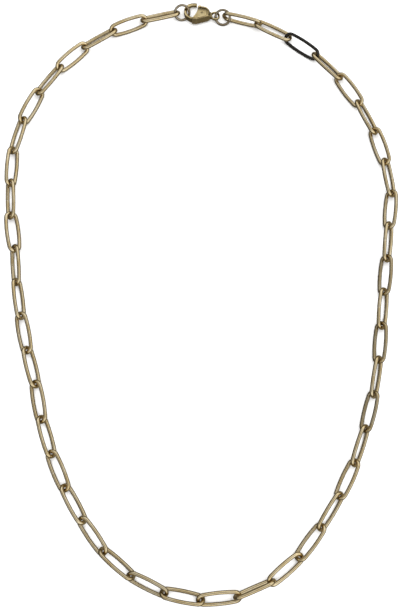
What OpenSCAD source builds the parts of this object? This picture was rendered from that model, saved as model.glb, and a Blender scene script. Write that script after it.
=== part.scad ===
// Paperclip chain necklace: forty-four long wire links, two jump rings and a
// lobster clasp, lying closed on a flat surface as one loop.
// Millimetres, +Z up, the surface at z = 0 and the loop centred on the origin.

/* [Links] */
// Outside length of a link
link_l = 12.5; // [12.4:0.05:12.8]
// Outside width of a link
link_w = 4.7; // [4.6:0.05:5]
// Outside radius of the bend at a link's ends, where the sides bow out to full width
bend_r = 2.1; // [2.05:0.05:2.2]
// Thickness of the link wire
wire_d = 1.1; // [0.9:0.05:1.1]
// Free play where two links hook together
play = 0.3; // [0.25:0.05:0.4]

/* [Jump rings] */
// Outside diameter of a jump ring
ring_od = 5.2; // [5.2:0.05:5.4]
// Thickness of the ring wire
ring_wire_d = 0.75; // [0.6:0.05:0.75]
// How far a ring's far side is lifted, in degrees
ring_lean = 42; // [40:1:44]

/* [Clasp body] */
// Distance from the middle of the claw to the middle of the eye
clasp_reach = 7.2; // [7.1:0.05:7.3]
// Thickness across the two cheeks
cheek_t = 3; // [2.9:0.05:3.1]
// Radius of the claw's outer bow
claw_r = 3.2; // [3.15:0.05:3.25]
// Radius of the claw's opening
mouth_r = 2.25; // [2.2:0.05:2.3]
// Outside radius of the eye
eye_r = 1.45; // [1.4:0.05:1.5]
// Radius of the hole through the eye
eye_hole_r = 0.9; // [0.85:0.05:0.95]
// How far the clasp's near edge is lifted, in degrees
clasp_lean = 10; // [8:1:12]

/* [Clasp lever] */
// Radius of the lever's rim about its pin
lever_r = 3.1; // [3.05:0.05:3.15]
// Thickness of the lever between the cheeks
lever_t = 1.1; // [1:0.05:1.1]
// Thickness of the thumb tab
tab_t = 2; // [1.6:0.1:2.2]
// Diameter of the hinge pin
pin_d = 0.6; // [0.5:0.05:0.6]

/* [Hidden] */
$fn = 64;
link_count = 44;

// Which way the chain runs at some of its links, turning evenly in between
// [link, heading in degrees from +X toward +Y]
turns = [
    [1, 194],
    [2, 202],
    [5, 234],
    [6, 244],
    [8, 268],
    [10, 279],
    [11, 276],
    [14, 286],
    [15, 282],
    [19, 306],
    [21, 334],
    [22, 349],
    [25, 399],
    [26, 412],
    [27, 417],
    [29, 430],
    [32, 443],
    [36, 443],
    [37, 458],
    [40, 484],
    [44, 526]
];

// Links lean by turns inward and outward, and some lie flatter or steeper
// Degrees from flat, with the side toward the middle of the loop up where positive
lean_in = 43;
lean_out = -43;
// [link, its own lean]
own_leans = [
    [8, -49],
    [9, 52],
    [10, -31],
    [11, 52],
    [12, -59],
    [13, 29],
    [14, -49],
    [15, 31],
    [16, -50],
    [17, 28],
    [18, -47],
    [19, 37],
    [20, -50],
    [23, 32],
    [24, -79],
    [25, 32],
    [27, 47],
    [29, 49],
    [30, -46],
    [31, 52],
    [35, 49],
    [38, -38],
    [40, -37],
    [43, 27],
    [44, -87]
];

function link_name(i) = str("link_", i < 10 ? "0" : "", i);

// A link's wire follows four arcs, round at the ends and nearly straight at the sides
end_r = bend_r - wire_d / 2;
half_w = (link_w - wire_d) / 2;
bend_at = (link_l - wire_d) / 2 - end_r;
side_r = (pow(bend_at, 2) + pow(half_w, 2) - pow(end_r, 2)) / (2 * (half_w - end_r));
side_turn = asin(bend_at / (side_r - end_r));

// Links hook together end_lap past each other, which sets their spacing
end_lap = wire_d + play;
pitch = link_l - wire_d - end_lap;

// Along the line of the clasp: end of link 1, left ring, claw, eye, right ring
// and end of link 44, where the right ring is drawn up over its flat link
ring_r = (ring_od - ring_wire_d) / 2;
ring_lap = (wire_d + ring_wire_d) / 2 + play;
link_to_ring = ring_r + end_lap / 2 - ring_lap + 0.1;
ring_to_claw = ring_r + 0.74;
eye_to_ring = ring_r + 0.15;
ring_to_link = link_to_ring - 0.8;
claw_line = link_to_ring + ring_to_claw;
clasp_run = claw_line + clasp_reach + eye_to_ring + ring_to_link;
clasp_heading = -5;
clasp_start = [0, 0.3];

// Clasp outlines, with X from claw to eye and Y toward the lever's rim
claw_at = [0.8, 0.5];
mouth_at = [0.7, 0.55];
tip_x = 1.35;
cheek_x = 0.3;
pivot = [3.1, -0.3];
cheek_r = 2.35;
shoulder_at = [2.95, 0.05];
shoulder_r = 2.65;
shoulder_t = 1.9;
edge_inset = 0.25;
boss_r = 1.2;
gate_at = [-6.3, 2.2];
gate_r = 8;
tab_in_r = 2.5;
tail_angle = 64;
tab_angle = 100;
opening_angle = 25;
pin_play = 0.1;
slot_play = 0.1;
eye_at = [clasp_reach, -0.1];
eye_t = 1.2;

function along(angle, distance) = distance * [cos(angle), sin(angle)];

// Layout of the loop: links in a row from the left ring round to the right one
function heading(i) = lookup(i, turns);

function lean(i) =
    let (own = [for (row = own_leans) if (row[0] == i) row[1]])
    len(own) > 0 ? own[0] : i % 2 == 1 ? lean_in : lean_out;

function resting(i) = half_w * abs(sin(lean(i))) + wire_d / 2;

open_joints = [
    for (i = 0, at = [0, 0]; i <= link_count; i = i + 1, at = at + along(heading(i), pitch))
    at
];
miss = clasp_start + along(clasp_heading, clasp_run) - open_joints[link_count];
joints = [for (i = [0:link_count]) open_joints[i] + miss * i / link_count];

// Where two links meet, both are held at the height the steeper one rests at
function joint_height(j) = max(resting(max(j, 1)), resting(min(j + 1, link_count)));

function joint(j) = [joints[j][0], joints[j][1], joint_height(j)];

function middle(i) = (joint(i - 1) + joint(i)) / 2;

function run(i) = joint(i) - joint(i - 1);

function bearing(i) = atan2(run(i)[1], run(i)[0]);

function rise(i) = atan2(run(i)[2], norm([run(i)[0], run(i)[1]]));

// How far a link's wire reaches toward where a share of its length and width point
function reach(length_share, width_share) =
    let (share = norm([length_share, width_share]))
    abs(length_share) > share * sin(side_turn)
        ? bend_at * abs(length_share) + end_r * share
        : (half_w - side_r) * abs(width_share) + side_r * share;

// Half of what a link spans along X (k = 0) or Y (k = 1)
function half_span(i, k) =
    let (
        quarter = k == 0 ? 90 : 0,
        length_share = cos(bearing(i) + quarter - 90) * cos(rise(i)),
        width_share = cos(lean(i)) * cos(bearing(i) + quarter)
    )
    reach(length_share, width_share) + wire_d / 2;

function low(k) = min([for (i = [1:link_count]) middle(i)[k] - half_span(i, k)]);

function high(k) = max([for (i = [1:link_count]) middle(i)[k] + half_span(i, k)]);

claw_edge_t = 1.04;
claw_top = clasp_start[1] + along(clasp_heading, claw_line + claw_at[0])[1]
    + (claw_at[1] + claw_r) * cos(clasp_lean) + claw_edge_t / 2 * sin(clasp_lean);
loop_middle = [(low(0) + high(0)) / 2, (low(1) + max(high(1), claw_top)) / 2];

module on_loop() {
    translate([-loop_middle[0], -loop_middle[1], 0])
        children();
}

module on_clasp_line(distance, height) {
    spot = clasp_start + along(clasp_heading, distance);
    on_loop()
        translate([spot[0], spot[1], height])
            rotate([0, 0, clasp_heading])
                children();
}

// A link lies flat in its own frame, its length along X
module wire_arc(radius, first, last) {
    rotate([0, 0, first])
        rotate_extrude(angle = last - first)
            translate([radius, 0])
                circle(d = wire_d);
}

module link_end() {
    translate([bend_at, 0, 0])
        wire_arc(end_r, side_turn - 90, 90 - side_turn);
}

module link_side() {
    translate([0, half_w - side_r, 0])
        wire_arc(side_r, 90 - side_turn, 90 + side_turn);
}

module link(i) {
    color([0.72, 0.63, 0.42])
        on_loop()
            translate(middle(i))
                rotate([lean(i), -rise(i), bearing(i)])
                    for (turn = [0, 180])
                        rotate([0, 0, turn]) {
                            link_side();
                            link_end();
                        }
}

// A ring rests on its lowest edge, side moves it across the clasp's line and turn raises its
// left edge where positive
module jump_ring(distance, side, turn) {
    lift = ring_r * norm([sin(ring_lean), sin(turn) * cos(ring_lean)]);
    color([0.55, 0.52, 0.45])
        on_clasp_line(distance, lift + ring_wire_d / 2)
            translate([0, side, 0])
                rotate([ring_lean, 0, 0])
                    rotate([0, turn, 0])
                        rotate_extrude()
                            translate([ring_r, 0])
                                circle(d = ring_wire_d);
}

module jump_ring_left() {
    jump_ring(link_to_ring, 0, 11);
}

module jump_ring_right() {
    jump_ring(clasp_run - ring_to_link, -0.3, -5);
}

// The clasp rests on the lower edges of its cheeks
module on_clasp() {
    on_clasp_line(claw_line, (pivot[1] + cheek_r) * sin(clasp_lean) + cheek_t / 2 * cos(clasp_lean))
        rotate([-clasp_lean, 0, 0])
            children();
}

// Keeps what lies within a half thickness given along X
module within_side_profile(profile) {
    intersection() {
        children();
        rotate([90, 0, 0])
            linear_extrude(height = 12, center = true)
                mirrored_profile(profile);
    }
}

// Keeps what lies within a half thickness given along Y
module within_cross_profile(profile) {
    intersection() {
        children();
        rotate([90, 0, 90])
            linear_extrude(height = 24, center = true)
                mirrored_profile(profile);
    }
}

module mirrored_profile(profile) {
    back = len(profile) - 1;
    polygon(concat(profile, [for (i = [back:-1:0]) [profile[i][0], -profile[i][1]]]));
}

// Bevelled disc and hole that give the claw a rounded section
module barrel(radius, half_land, bevel) {
    rotate_extrude()
        polygon([
            [0, -half_land - bevel],
            [radius - bevel, -half_land - bevel],
            [radius, -half_land],
            [radius, half_land],
            [radius - bevel, half_land + bevel],
            [0, half_land + bevel]
        ]);
}

module flared_hole(radius, half_land, flare) {
    rotate_extrude()
        polygon([
            [0, -half_land - flare],
            [radius + flare, -half_land - flare],
            [radius, -half_land],
            [radius, half_land],
            [radius + flare, half_land + flare],
            [0, half_land + flare]
        ]);
}

module claw() {
    within_side_profile([[-3, 0.75], [-1.2, 0.85], [0, 1.05], [4, 1.3]])
        within_cross_profile([[-3.2, 1.3], [0, 1.1], [2, 0.85], [3.8, 0.5]])
            difference() {
                translate(claw_at)
                    barrel(claw_r, 0.9, 0.4);
                translate(mouth_at)
                    flared_hole(mouth_r, 0.45, 0.9);
                translate([tip_x, -1.3, -3])
                    cube(6);
                translate([2.5, -4, -3])
                    cube(6);
            }
}

// Everything on the lever's side of the body's near edge, moved in by inset
module near_field(inset) {
    polygon([
        [cheek_x, -2.8 + inset],
        [1.6, -2.8 + inset],
        [6.4, -0.72 + inset],
        [6.4, 4],
        [cheek_x, 4]
    ]);
}

module body_outline(radius, inset) {
    intersection() {
        near_field(inset);
        difference() {
            union() {
                translate(pivot)
                    circle(r = radius);
                polygon([[0, -3], [2.4, -3], [6.2, -1.5], [6.2, 0.6], pivot + [1, 1], pivot, [0, -1.35]]);
            }
            translate(gate_at + [0.2, 0])
                circle(r = gate_r);
        }
    }
}

module cheeks() {
    within_side_profile([[0, cheek_t / 2], [4.4, cheek_t / 2], [6.2, 0.6], [7, 0.6]]) {
        linear_extrude(height = cheek_t, center = true)
            body_outline(cheek_r, edge_inset);
    }
    within_side_profile([[0, cheek_t / 2 - 0.2], [5, cheek_t / 2 - 0.2], [6.2, 0.55], [7, 0.55]])
        linear_extrude(height = cheek_t, center = true)
            body_outline(cheek_r - 0.2, 0);
    linear_extrude(height = shoulder_t, center = true)
        intersection() {
            translate(shoulder_at)
                circle(r = shoulder_r);
            near_field(0);
            polygon([pivot, [7, -0.6], [7, 4], pivot + along(tail_angle - 3, 7)]);
        }
}

module eye() {
    translate(eye_at)
        difference() {
            barrel(eye_r, eye_t / 2 - 0.25, 0.25);
            flared_hole(eye_hole_r, 0.15, eye_t / 2);
        }
}

module lever_slot() {
    linear_extrude(height = lever_t + 2 * slot_play, center = true) {
        translate(pivot)
            circle(r = boss_r + 0.15);
        intersection() {
            translate(pivot)
                circle(r = lever_r + 0.3);
            polygon([
                [0, -1.35],
                pivot - [0, 1.05],
                pivot,
                pivot + along(tail_angle - opening_angle - 5, 7),
                [6, 6],
                [0, 6]
            ]);
        }
    }
}

module pin_bore(play) {
    translate(pivot)
        cylinder(d = pin_d + 2 * play, h = 6, center = true);
}

module clasp_body() {
    color([0.66, 0.57, 0.36])
        on_clasp() {
            difference() {
                union() {
                    claw();
                    cheeks();
                }
                lever_slot();
                pin_bore(pin_play);
            }
            eye();
        }
}

// The part of the lever's disc between two angles about the pin
module lever_fan(first, last) {
    polygon([
        pivot,
        pivot + along(first, 6),
        pivot + along((first + last) / 2, 8),
        pivot + along(last, 6)
    ]);
}

module clasp_lever() {
    color([0.7, 0.6, 0.38])
        on_clasp()
            difference() {
                union() {
                    linear_extrude(height = lever_t, center = true) {
                        translate(pivot)
                            circle(r = boss_r);
                        intersection() {
                            translate(pivot)
                                circle(r = lever_r);
                            union() {
                                lever_fan(tail_angle, 150);
                                polygon([pivot, pivot + along(150, 6), [0, -1.25], [2.6, -1.25]]);
                            }
                        }
                    }
                    linear_extrude(height = tab_t, center = true)
                        intersection() {
                            difference() {
                                translate(pivot)
                                    circle(r = lever_r);
                                translate(pivot)
                                    circle(r = tab_in_r);
                            }
                            lever_fan(tab_angle, 150);
                        }
                }
                translate(gate_at)
                    cylinder(r = gate_r, h = 6, center = true);
                pin_bore(pin_play);
            }
}

module lever_pin() {
    color([0.6, 0.55, 0.42])
        on_clasp()
            translate(pivot)
                cylinder(d = pin_d, h = cheek_t, center = true);
}

for (i = [1:link_count])
    link(i);
jump_ring_left();
jump_ring_right();
clasp_body();
clasp_lever();
lever_pin();
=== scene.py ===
import math

import bmesh
import bpy
import numpy as np
from mathutils import Matrix, Vector


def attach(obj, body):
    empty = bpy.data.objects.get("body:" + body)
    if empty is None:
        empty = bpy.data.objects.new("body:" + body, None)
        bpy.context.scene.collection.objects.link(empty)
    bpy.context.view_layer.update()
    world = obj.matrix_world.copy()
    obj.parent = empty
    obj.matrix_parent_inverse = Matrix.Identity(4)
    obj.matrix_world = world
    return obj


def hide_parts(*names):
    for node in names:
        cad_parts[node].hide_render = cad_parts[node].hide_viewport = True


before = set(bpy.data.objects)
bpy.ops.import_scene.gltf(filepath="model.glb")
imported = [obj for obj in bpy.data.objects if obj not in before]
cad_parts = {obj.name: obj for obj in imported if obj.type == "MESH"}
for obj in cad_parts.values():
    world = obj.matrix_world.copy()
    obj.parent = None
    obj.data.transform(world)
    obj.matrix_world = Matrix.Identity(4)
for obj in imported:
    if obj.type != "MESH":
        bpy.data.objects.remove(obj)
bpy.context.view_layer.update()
print("frame loaded:", len(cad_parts), "nodes")

mm = 0.001  # everything in the scene is in metres


# The surface of a node as points and triangles
def surfaceOf(node):
    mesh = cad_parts[node].data
    mesh.calc_loop_triangles()
    points = np.empty(len(mesh.vertices) * 3)
    mesh.vertices.foreach_get("co", points)
    corners = np.empty(len(mesh.loop_triangles) * 3, dtype=np.int32)
    mesh.loop_triangles.foreach_get("vertices", corners)
    points = points.reshape(-1, 3)
    return points, points[corners.reshape(-1, 3)]


# A wire loop's middle, its axes (length, width, normal) and its size along each
def wireFrame(node):
    points, triangles = surfaceOf(node)
    sides = np.cross(triangles[:, 1] - triangles[:, 0], triangles[:, 2] - triangles[:, 0])
    areas = np.linalg.norm(sides, axis=1) / 2
    middle = (triangles.mean(axis=1) * areas[:, None]).sum(axis=0) / areas.sum()
    spokes = triangles - middle
    sums = spokes.sum(axis=1)
    spread = np.einsum("t,tci,tcj->ij", areas, spokes, spokes)
    spread += np.einsum("t,ti,tj->ij", areas, sums, sums)
    normal, width, length = np.linalg.eigh(spread)[1].T
    if normal[2] < 0:
        normal = -normal
    width = np.cross(normal, length)
    axes = np.array([length, width, normal])
    along = (points - middle) @ axes.T
    low, high = along.min(axis=0), along.max(axis=0)
    return middle + (low + high) / 2 @ axes, axes, high - low


# Adds a piece that rides on its body and stands for the nodes named
def placed(name, mesh, material, body, nodes):
    piece = bpy.data.objects.new(name, mesh)
    bpy.context.scene.collection.objects.link(piece)
    mesh.polygons.foreach_set("use_smooth", [True] * len(mesh.polygons))
    mesh.materials.clear()
    mesh.materials.append(material)
    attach(piece, body)
    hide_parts(*nodes)


# The finish and painted light of each point: red is its tone, which carries painted light and shade;
# green its tarnish and painted shade; blue how near the weld
def paintFinishAndLight(mesh, tone, tarnishAndShade, weld):
    layer = mesh.color_attributes.new("finishAndPaintedLight", "FLOAT_COLOR", "POINT")
    colours = np.ones((len(mesh.vertices), 4))
    colours[:, 0] = tone
    colours[:, 1] = tarnishAndShade
    colours[:, 2] = weld
    layer.data.foreach_set("color", colours.ravel())


# Directions out from the middle of a flat loop
def outwardAt(angles):
    return np.column_stack([np.cos(angles), np.sin(angles), np.zeros(len(angles))])


# A round wire swept along a closed flat path, with how far outward each point of it faces
def sweptWire(name, path, outward, axes, radii, sides):
    turn = np.linspace(0, 2 * math.pi, sides, endpoint=False)
    rim = np.cos(turn)[None, :, None] * outward[:, None, :]
    rim = rim + np.sin(turn)[None, :, None] * np.array([0, 0, 1])
    points = (path[:, None, :] + radii[:, None, None] * rim).reshape(-1, 3) @ axes
    count = len(path)
    faces = []
    for i in range(count):
        for j in range(sides):
            here, there = i * sides, (i + 1) % count * sides
            nextJ = (j + 1) % sides
            faces.append((here + j, here + nextJ, there + nextJ, there + j))
    mesh = bpy.data.meshes.new(name)
    mesh.from_pydata(points.tolist(), [], faces)
    steps = np.linalg.norm(np.diff(path, axis=0, append=path[:1]), axis=1)
    travel = np.concatenate([[0], np.cumsum(steps)]) / mm
    around = 2 * math.pi * radii.mean() / mm
    layer = mesh.uv_layers.new(name="draw")
    spots = []
    for i in range(count):
        for j in range(sides):
            u0, u1 = travel[i], travel[i + 1]
            v0, v1 = around * j / sides, around * (j + 1) / sides
            spots += [u0, v0, u0, v1, u1, v1, u1, v0]
    layer.data.foreach_set("uv", spots)
    bm = bmesh.new()
    bm.from_mesh(mesh)
    bmesh.ops.recalc_face_normals(bm, faces=bm.faces)
    bm.to_mesh(mesh)
    bm.free()
    return mesh, np.tile(np.cos(turn), count)


# Materials

def socketOf(tree, node, name, value):
    if isinstance(value, bpy.types.NodeSocket):
        tree.links.new(value, node.inputs[name])
    else:
        node.inputs[name].default_value = value


def mathNode(tree, operation, first, second=0.0, clamp=False):
    node = tree.nodes.new("ShaderNodeMath")
    node.operation = operation
    node.use_clamp = clamp
    socketOf(tree, node, 0, first)
    socketOf(tree, node, 1, second)
    return node.outputs[0]


def blendNode(tree, share, first, second, mode="MIX"):
    node = tree.nodes.new("ShaderNodeMix")
    node.data_type = "RGBA"
    node.blend_type = mode
    socketOf(tree, node, 0, share)
    socketOf(tree, node, 6, first)
    socketOf(tree, node, 7, second)
    return node.outputs[2]


def noiseNode(tree, place, scale, detail=3.0, roughness=0.55):
    node = tree.nodes.new("ShaderNodeTexNoise")
    tree.links.new(place, node.inputs["Vector"])
    node.inputs["Scale"].default_value = scale
    node.inputs["Detail"].default_value = detail
    node.inputs["Roughness"].default_value = roughness
    return node.outputs["Fac"]


def stretchNode(tree, place, scale):
    node = tree.nodes.new("ShaderNodeMapping")
    tree.links.new(place, node.inputs["Vector"])
    node.inputs["Scale"].default_value = scale
    return node.outputs["Vector"]


def rangeNode(tree, value, fromLow, fromHigh, toLow, toHigh):
    node = tree.nodes.new("ShaderNodeMapRange")
    tree.links.new(value, node.inputs["Value"])
    ends = {"From Min": fromLow, "From Max": fromHigh, "To Min": toLow, "To Max": toHigh}
    for name, number in ends.items():
        node.inputs[name].default_value = number
    return node.outputs["Result"]


# Plated metal, read with the finish and the painted light and shade that each piece carries per point
def platedMetal(name, look):
    material = bpy.data.materials.new(name)
    material.use_nodes = True
    tree = material.node_tree
    shader = tree.nodes["Principled BSDF"]
    shader.inputs["Metallic"].default_value = 1.0
    coordinates = tree.nodes.new("ShaderNodeTexCoord")
    body = coordinates.outputs["Object"]
    finishAndPaintedLight = tree.nodes.new("ShaderNodeVertexColor")
    finishAndPaintedLight.layer_name = "finishAndPaintedLight"
    parts = tree.nodes.new("ShaderNodeSeparateColor")
    tree.links.new(finishAndPaintedLight.outputs["Color"], parts.inputs["Color"])
    tone, tarnishAndShade, weld = parts.outputs

    # soft drifts between the warmer and the paler plating
    drift = rangeNode(tree, noiseNode(tree, body, look["driftScale"]), *look["driftRange"], 0, 1)
    colour = blendNode(tree, drift, look["warm"], look["pale"])
    specks = noiseNode(tree, body, look["speckScale"], look["speckDetail"])
    specks = rangeNode(tree, specks, *look["speckRange"], 0, look["specks"])
    # the tarnish channel, which also carries painted shade, blends toward the dark colour and roughens
    # it
    dulledAndShaded = mathNode(tree, "ADD", tarnishAndShade, specks, True)
    colour = blendNode(tree, dulledAndShaded, colour, look["tarnishShadeColour"])
    colour = blendNode(tree, weld, colour, look["welded"])
    # painted light and shade: the tone scales the colour brighter or darker per point
    colour = blendNode(tree, 1.0, colour, tone, "MULTIPLY")
    tree.links.new(colour, shader.inputs["Base Color"])

    # drawn or polished streaks in the gloss and the surface
    streakPlace = stretchNode(tree, coordinates.outputs[look["streaksBy"]], look["streakStretch"])
    streak = noiseNode(tree, streakPlace, 1.0, look["streakDetail"])
    gloss = rangeNode(tree, streak, *look["streakRange"], *look["gloss"])
    gloss = mathNode(tree, "ADD", gloss, mathNode(tree, "MULTIPLY", dulledAndShaded, look["dullGloss"]))
    tree.links.new(gloss, shader.inputs["Roughness"])

    shader.inputs["Coat Weight"].default_value = look["coat"]
    shader.inputs["Coat Roughness"].default_value = look["coatRoughness"]
    shader.inputs["Coat IOR"].default_value = look["coatIor"]

    pits = noiseNode(tree, body, look["pitScale"], look["pitDetail"])
    relief = mathNode(tree, "ADD", mathNode(tree, "MULTIPLY", streak, look["streakRelief"]), pits)
    bump = tree.nodes.new("ShaderNodeBump")
    bump.inputs["Strength"].default_value = look["bump"]
    bump.inputs["Distance"].default_value = look["bumpDepth"] * mm
    tree.links.new(relief, bump.inputs["Height"])
    tree.links.new(bump.outputs["Normal"], shader.inputs["Normal"])
    return material


goldWire = {
    "warm": (0.64, 0.50, 0.27, 1),
    "pale": (0.76, 0.65, 0.44, 1),
    # the colour of tarnish and of painted shade
    "tarnishShadeColour": (0.30, 0.20, 0.09, 1),
    "welded": (0.70, 0.63, 0.50, 1),
    "driftScale": 260,
    "driftRange": (0.35, 0.65),
    "speckScale": 2600,
    "speckDetail": 5,
    "speckRange": (0.52, 0.72),
    "specks": 0.3,
    "streaksBy": "UV",  # along the wire
    "streakStretch": (0.5, 9.0, 1.0),
    "streakDetail": 4,
    "streakRange": (0.3, 0.7),
    "streakRelief": 0.5,
    "gloss": (0.07, 0.16),  # roughness between and on the streaks
    "dullGloss": 0.2,  # how much rougher the tarnish and painted shade are
    "coat": 0.0,
    "coatRoughness": 0.04,
    "coatIor": 1.7,
    "pitScale": 3200,
    "pitDetail": 2,
    "bump": 0.3,
    "bumpDepth": 0.015,  # mm
}
# painted reflection: one link's wire is coloured near black for the dark reflection it shows
paintedDarkWire = dict(
    goldWire,
    warm=(0.020, 0.016, 0.012, 1),
    pale=(0.032, 0.028, 0.024, 1),
    tarnishShadeColour=(0.012, 0.010, 0.008, 1),
    welded=(0.04, 0.036, 0.03, 1),
    coat=0.4,
)
greyWire = dict(
    goldWire,
    warm=(0.29, 0.23, 0.15, 1),
    pale=(0.40, 0.35, 0.27, 1),
    gloss=(0.10, 0.2),
)
castGold = dict(
    goldWire,
    warm=(0.40, 0.31, 0.15, 1),
    pale=(0.50, 0.41, 0.23, 1),
    tarnishShadeColour=(0.14, 0.08, 0.03, 1),
    driftScale=420,
    streaksBy="Object",
    streakStretch=(900, 4500, 900),
    gloss=(0.14, 0.24),
    pitScale=2400,
    bumpDepth=0.02,
)
linkMetal = platedMetal("goldWirePlating", goldWire)
paintedDarkMetal = platedMetal("paintedDarkReflection", paintedDarkWire)
ringMetal = platedMetal("greyWirePlating", greyWire)
claspMetal = platedMetal("castClaspPlating", castGold)
leverMetal = platedMetal("leverPlating", dict(castGold, gloss=(0.16, 0.26)))
pinMetal = platedMetal("pinPlating", dict(castGold, warm=(0.5, 0.42, 0.27, 1)))
print("plating mixed")


# Links

linkLook = {
    "sides": 24,
    "bendRadius": 1.55 * mm,  # of the wire's middle, where the bowed sides run into the ends
    "bendSteps": 22,
    "sideSteps": 10,
    "weldWidth": 0.16 * mm,
    "weldSteps": (-3, -2, -1.2, -0.6, 0, 0.6, 1.2, 2, 3),  # in weld widths from the weld
    "weldDepth": 0.05,  # share of the wire's radius
    "weldTint": 0.6,
    "paintedLightTones": {  # painted light and shade: how much brighter or darker a link is painted for how it faces the light, where it isn't 1
        1: 1.1, 4: 1.15, 20: 0.85, 21: 0.8, 22: 0.85, 25: 1.15, 30: 0.7, 32: 0.72, 34: 0.72, 36: 0.9,
    },
    "bendWearAndShade": 0.6,  # inside the bends, where the next link rubs: rub wear, and painted shade where the next link shades the bend
    "bendWearShadeFade": 0.7,
    # painted reflection: the link that is coloured near black
    "darkLink": 42,
    "darkSlim": 0.86,  # the dark link's wire looks thinner than the rest
}


# Points and outward directions along a link's four arcs, starting where a side meets an end
def linkPath(halfLength, halfWidth):
    bend = linkLook["bendRadius"]
    bendAt = halfLength - bend
    sideRadius = (bendAt**2 + halfWidth**2 - bend**2) / (2 * (halfWidth - bend))
    sideTurn = math.asin(bendAt / (sideRadius - bend))
    endTurn = math.pi / 2 - sideTurn
    endOut = outwardAt(np.linspace(-endTurn, endTurn, linkLook["bendSteps"] + 1))
    weldAngles = np.array(linkLook["weldSteps"]) * linkLook["weldWidth"] / sideRadius
    sideAngles = np.linspace(-sideTurn, sideTurn, linkLook["sideSteps"] + 1)[1:-1]
    clearOfWeld = np.abs(sideAngles) > 1.2 * weldAngles[-1]
    sideAngles = np.sort(np.concatenate([weldAngles, sideAngles[clearOfWeld]]))
    sideOut = outwardAt(math.pi / 2 + sideAngles)
    endPath = endOut * bend + [bendAt, 0, 0]
    sidePath = sideOut * sideRadius + [0, halfWidth - sideRadius, 0]
    halfPath, halfOut = np.vstack([endPath, sidePath]), np.vstack([endOut, sideOut])
    return np.vstack([halfPath, -halfPath]), np.vstack([halfOut, -halfOut]), bendAt


def makeLink(number):
    node = f"link_{number:02d}"
    middle, axes, size = wireFrame(node)
    radius = size[2] / 2
    path, outward, bendAt = linkPath(size[0] / 2 - radius, size[1] / 2 - radius)
    # the weld shows on one side of every second link
    weld = np.exp(-((path[:, 0] / linkLook["weldWidth"]) ** 2)) * (path[:, 1] > 0) * (number % 2)
    dark = number == linkLook["darkLink"]
    slim = linkLook["darkSlim"] if dark else 1.0
    radii = radius * slim * (1 - linkLook["weldDepth"] * weld)
    sides = linkLook["sides"]
    mesh, outer = sweptWire(node + "Wire", path, outward, axes, radii, sides)
    mesh.transform(Matrix.Translation(Vector(middle)))
    # rub wear and painted shade on the inner side of the bends
    reach = np.clip((np.abs(path[:, 0]) - bendAt) / linkLook["bendRadius"], 0, 1) ** 2
    inner = np.clip(-outer, 0, 1) ** linkLook["bendWearShadeFade"]
    tarnishAndShade = linkLook["bendWearAndShade"] * np.repeat(reach, sides) * inner
    # painted light and shade: this link's brightness for how it faces the light
    tone = linkLook["paintedLightTones"].get(number, 1.0)
    paintFinishAndLight(mesh, tone, tarnishAndShade, np.repeat(weld, sides) * linkLook["weldTint"])
    metal = paintedDarkMetal if dark else linkMetal
    placed(f"link{number:02d}", mesh, metal, "chain", [node])


linkCount = sum(name.startswith("link_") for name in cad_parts)
for number in range(1, linkCount + 1):
    makeLink(number)
print("links:", linkCount)


# Jump rings

ringLook = {
    "sides": 20,
    "steps": 88,
    "cutWidth": 0.07 * mm,
    "cutSteps": (-3, -2, -1.2, -0.5, 0, 0.5, 1.2, 2, 3),  # in cut widths from the cut
    "clearOfCut": 5,  # cut widths from the cut to the first plain step
    "cutDepth": 0.35,  # share of the wire's radius
    # how much darker the ring's inner side is
    "innerDarkening": 0.25,
    "cutAngle": {"jump_ring_left": 200, "jump_ring_right": 20},
}


def makeRing(node, name):
    middle, axes, size = wireFrame(node)
    radius = size[2] / 2
    bend = (size[0] + size[1]) / 4 - radius
    cut = ringLook["cutWidth"] / bend
    near = np.array(ringLook["cutSteps"]) * cut
    clear = ringLook["clearOfCut"] * cut
    angles = np.concatenate([near, np.linspace(clear, 2 * math.pi - clear, ringLook["steps"])])
    dip = np.exp(-((np.minimum(angles, 2 * math.pi - angles) / cut) ** 2))
    outward = outwardAt(angles + math.radians(ringLook["cutAngle"][node]))
    radii = radius * (1 - ringLook["cutDepth"] * dip)
    sides = ringLook["sides"]
    mesh, outer = sweptWire(node + "Wire", outward * bend, outward, axes, radii, sides)
    mesh.transform(Matrix.Translation(Vector(middle)))
    # painted shade in the cut, and darker on the ring's inner side
    tarnishAndShade = np.repeat(dip, sides) + ringLook["innerDarkening"] * np.clip(-outer, 0, 1)
    paintFinishAndLight(mesh, 1.0, np.clip(tarnishAndShade, 0, 1), 0.0)
    placed(name, mesh, ringMetal, "chain", [node])


makeRing("jump_ring_left", "jumpRingLeft")
makeRing("jump_ring_right", "jumpRingRight")
print("jump rings made")


# Clasp

claspLook = {
    "body": {"voxel": 0.065, "rounding": 6, "tone": 1.0, "domed": True},  # voxel in mm
    "lever": {"voxel": 0.06, "rounding": 5, "tone": 1.05, "domed": False},
    "mergeWithin": 0.002,  # mm
    "smoothing": 0.5,
    "hollowBlurs": 3,
    # painted shade in the hollows and painted highlights on the ridges, from how curved the cast surface
    # is
    "hollowShadeGain": 30,
    "hollowShadeMost": 0.9,
    "ridgeHighlightGain": 20,
    "ridgeHighlight": 0.7,  # painted highlight: how much brighter the convex ridges are painted
    "domeFrom": 0.7,  # mm above and below the middle where the cheeks' dome starts
    "domeShare": 0.6,  # share of the rest that the dome drops by at the lever's rim
    "domeNear": -1.0,  # mm from the pin, toward the rim, where the dome starts to fall
    "domeReach": 3.2,  # mm from there to where it has fallen all the way
}


# The hinge pin's middle and axis, and its points as seen from the middle
def pinLine():
    points, triangles = surfaceOf("lever_pin")
    middle = (points.min(axis=0) + points.max(axis=0)) / 2
    spokes = triangles.reshape(-1, 3) - middle
    return middle, np.linalg.eigh(spokes.T @ spokes)[1][:, 2], points - middle


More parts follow.
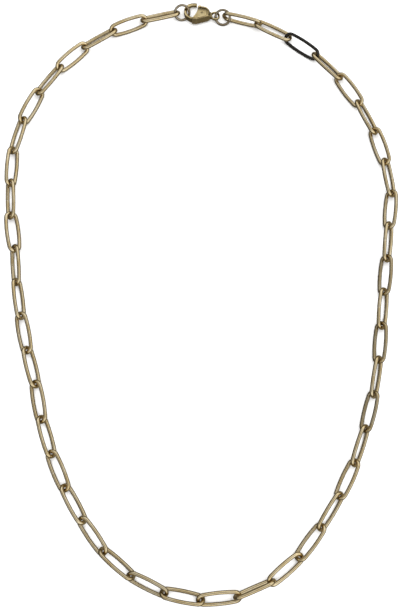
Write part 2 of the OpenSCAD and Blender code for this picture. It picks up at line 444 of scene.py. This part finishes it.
# The cheeks fall away in a dome from the ridge along their near edge to the lever's rim
def domeCheeks(mesh):
    middle, axis, pinPoints = pinLine()
    chainLine = wireFrame("jump_ring_right")[0] - wireFrame("jump_ring_left")[0]
    toRim = np.cross(axis if axis[2] > 0 else -axis, chainLine)
    toRim /= np.linalg.norm(toRim)
    for vert in mesh.vertices:
        spoke = np.array(vert.co) - middle / mm
        height, across = spoke @ axis, spoke @ toRim
        fall = np.clip((across - claspLook["domeNear"]) / claspLook["domeReach"], 0, 1) ** 2
        extra = abs(height) - claspLook["domeFrom"]
        if extra > 0:
            drop = extra * fall * claspLook["domeShare"]
            vert.co -= Vector(axis * math.copysign(drop, height))


# A casting: the node's solid with its edges rounded by tumbling, with painted shade in its hollows and
# painted highlights on its ridges
def castPiece(name, node, body, material, look):
    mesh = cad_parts[node].data.copy()
    mesh.transform(Matrix.Scale(1 / mm, 4))
    bm = bmesh.new()
    bm.from_mesh(mesh)
    bmesh.ops.remove_doubles(bm, verts=bm.verts, dist=claspLook["mergeWithin"])
    bm.to_mesh(mesh)
    bm.free()
    blank = bpy.data.objects.new(name + "Blank", mesh)
    bpy.context.scene.collection.objects.link(blank)
    remesh = blank.modifiers.new("remesh", "REMESH")
    remesh.mode = "VOXEL"
    remesh.voxel_size = look["voxel"]
    smooth = blank.modifiers.new("tumble", "SMOOTH")
    smooth.factor = claspLook["smoothing"]
    smooth.iterations = look["rounding"]
    seen = blank.evaluated_get(bpy.context.evaluated_depsgraph_get())
    cast = bpy.data.meshes.new_from_object(seen)
    bpy.data.objects.remove(blank)
    if look["domed"]:
        domeCheeks(cast)
    bm = bmesh.new()
    bm.from_mesh(cast)
    hollow = np.zeros(len(bm.verts))
    bm.verts.index_update()
    nearby = [[edge.other_vert(vert).index for edge in vert.link_edges] for vert in bm.verts]
    for vert, near in zip(bm.verts, nearby):
        drop = sum((cast.vertices[k].co for k in near), Vector()) / len(near) - vert.co
        hollow[vert.index] = drop.dot(vert.normal) / look["voxel"]
    for blur in range(claspLook["hollowBlurs"]):
        hollow = np.array([
            (hollow[i] + sum(hollow[k] for k in near)) / (1 + len(near)) for i, near in enumerate(nearby)
        ])
    bm.free()
    cast.transform(Matrix.Scale(mm, 4))
    # painted highlights on the convex ridges and painted shade in the hollows
    ridge = np.clip(-hollow * claspLook["ridgeHighlightGain"], 0, 1) * claspLook["ridgeHighlight"]
    tarnishAndShade = np.clip(hollow * claspLook["hollowShadeGain"], 0, claspLook["hollowShadeMost"])
    paintFinishAndLight(cast, look["tone"] * (1 + ridge), tarnishAndShade, 0.0)
    print(name, len(cast.polygons), "faces")
    placed(name, cast, material, body, [node])


castPiece("claspBody", "clasp_body", "chain", claspMetal, claspLook["body"])
castPiece("claspLever", "clasp_lever", "lever", leverMetal, claspLook["lever"])


# Rivet

rivetLook = {
    "sides": 32,
    "crown": 0.35,  # share of the radius that each end is domed by
    "crownAngles": (0, 20, 40, 60, 75),
    "tone": 0.9,
    "tarnishAndShade": 0.1,
}


def makeRivet():
    middle, axis, points = pinLine()
    heights = points @ axis
    half = np.abs(heights).max()
    radius = np.linalg.norm(points - np.outer(heights, axis), axis=1).max()
    crown = rivetLook["crown"] * radius
    crownAngles = np.radians(rivetLook["crownAngles"])
    profile = [(radius * math.cos(a), half - crown + crown * math.sin(a)) for a in crownAngles]
    profile = [(r, -h) for r, h in reversed(profile)] + profile
    tilt = Vector(axis).to_track_quat("Z", "Y").to_matrix()
    bm = bmesh.new()
    rings = []
    sides = rivetLook["sides"]
    turn = [2 * math.pi * k / sides for k in range(sides)]
    for r, h in profile:
        spots = [Vector(middle) + tilt @ Vector((r * math.cos(a), r * math.sin(a), h)) for a in turn]
        rings.append([bm.verts.new(spot) for spot in spots])
    for lower, upper in zip(rings, rings[1:]):
        for k in range(sides):
            following = (k + 1) % sides
            bm.faces.new((lower[k], lower[following], upper[following], upper[k]))
    bm.faces.new(reversed(rings[0]))
    bm.faces.new(rings[-1])
    mesh = bpy.data.meshes.new("rivetTurned")
    bm.to_mesh(mesh)
    bm.free()
    paintFinishAndLight(mesh, rivetLook["tone"], rivetLook["tarnishAndShade"], 0.0)
    placed("leverRivet", mesh, pinMetal, "chain", ["lever_pin"])


makeRivet()
print("clasp made")


# Table

tableLook = {
    "half": 3.0,
    "paper": (0.9, 0.9, 0.9, 1),
    "fibres": (0.94, 0.94, 0.94, 1),
    "fibreScale": 900,
    "fibreDetail": 4,
    "roughness": 0.9,
    "sheen": 0.1,  # the specular level
}


def pageMaterial():
    material = bpy.data.materials.new("whitePage")
    material.use_nodes = True
    tree = material.node_tree
    shader = tree.nodes["Principled BSDF"]
    shader.inputs["Roughness"].default_value = tableLook["roughness"]
    shader.inputs["Specular IOR Level"].default_value = tableLook["sheen"]
    place = tree.nodes.new("ShaderNodeTexCoord").outputs["Object"]
    fibre = noiseNode(tree, place, tableLook["fibreScale"], tableLook["fibreDetail"])
    colour = blendNode(tree, fibre, tableLook["paper"], tableLook["fibres"])
    tree.links.new(colour, shader.inputs["Base Color"])
    return material


tableMesh = bpy.data.meshes.new("table")
half = tableLook["half"]
corners = [(-half, -half, 0), (half, -half, 0), (half, half, 0), (-half, half, 0)]
tableMesh.from_pydata(corners, [], [(0, 1, 2, 3)])
tableMesh.materials.append(pageMaterial())
table = bpy.data.objects.new("table", tableMesh)
bpy.context.scene.collection.objects.link(table)
table.visible_glossy = False  # the metal mirrors the dim lower studio instead of the bright page
print("table laid")


# Studio

studio = {
    "colours": {
        "below": (0.26, 0.24, 0.20, 1),
        "horizon": (0.06, 0.054, 0.045, 1),
        "tentEdge": (1.2, 1.2, 1.164, 1),
        "tent": (1.2, 1.2, 1.2, 1),
        "zenith": (0.42, 0.42, 0.42, 1),
    },
    "bands": [  # how high each colour lies, from 0 straight down to 1 straight up
        (0.0, "below"), (0.49, "below"), (0.51, "horizon"), (0.62, "horizon"),
        (0.70, "tentEdge"), (0.93, "tent"), (0.98, "zenith"), (1.0, "zenith"),
    ],
    "sideShade": (-0.8, 0.1, 0.35, 1.0),  # from left to right: two places, and the shade at each
    "patchScale": 2.2,
    "patchShade": (0.3, 0.7, 0.75, 1.15),
    "backdrop": (0.95, 0.95, 0.95, 1),
    "fillWatts": 26,
    "fillSize": 1.6,
    "fillHeight": 1.3,
}


def paintStudio():
    world = bpy.data.worlds.new("studio")
    bpy.context.scene.world = world
    world.use_nodes = True
    tree = world.node_tree
    background = tree.nodes["Background"]
    direction = tree.nodes.new("ShaderNodeTexCoord").outputs["Generated"]
    split = tree.nodes.new("ShaderNodeSeparateXYZ")
    tree.links.new(direction, split.inputs[0])
    ramp = tree.nodes.new("ShaderNodeValToRGB")
    tree.links.new(rangeNode(tree, split.outputs["Z"], -1, 1, 0, 1), ramp.inputs["Fac"])
    stops = [(height, studio["colours"][name]) for height, name in studio["bands"]]
    elements = ramp.color_ramp.elements
    elements[0].position, elements[0].color = stops[0]
    elements[1].position, elements[1].color = stops[-1]
    for position, colour in stops[1:-1]:
        elements.new(position).color = colour
    # the left of the studio is darker than the right
    side = rangeNode(tree, split.outputs["X"], *studio["sideShade"])
    patches = rangeNode(tree, noiseNode(tree, direction, studio["patchScale"], 1), *studio["patchShade"])
    shade = mathNode(tree, "MULTIPLY", side, patches)
    reflected = blendNode(tree, 1.0, ramp.outputs["Color"], shade, "MULTIPLY")
    seen = tree.nodes.new("ShaderNodeLightPath").outputs["Is Camera Ray"]
    tree.links.new(blendNode(tree, seen, reflected, studio["backdrop"]), background.inputs["Color"])


# A large soft light above, aimed straight down, which the metal doesn't mirror
def hangFill():
    light = bpy.data.lights.new("fill", "AREA")
    light.shape = "SQUARE"
    light.size = studio["fillSize"]
    light.energy = studio["fillWatts"]
    lamp = bpy.data.objects.new("fill", light)
    bpy.context.scene.collection.objects.link(lamp)
    lamp.location = (0, 0, studio["fillHeight"])
    lamp.rotation_euler = (-lamp.location).to_track_quat("-Z", "Y").to_euler()
    lamp.visible_glossy = False


paintStudio()
hangFill()
print("studio lit")


# Camera

view = {
    "place": (-7.76 * mm, -60.84 * mm, 258.9 * mm),
    "tiltDegrees": (12, -1.6, 0),
    "focalPixels": 920,
    "framePixels": 610,  # the long side of the 400 by 610 frame
    "sensorWidth": 36,
    "clipStart": 0.01,
}
camera = bpy.data.cameras.new("camera")
camera.sensor_width = view["sensorWidth"]
camera.lens = view["focalPixels"] / view["framePixels"] * camera.sensor_width
camera.clip_start = view["clipStart"]
eye = bpy.data.objects.new("camera", camera)
bpy.context.scene.collection.objects.link(eye)
eye.location = view["place"]
eye.rotation_euler = [math.radians(angle) for angle in view["tiltDegrees"]]
bpy.context.scene.camera = eye
bpy.context.scene.view_settings.view_transform = "Standard"
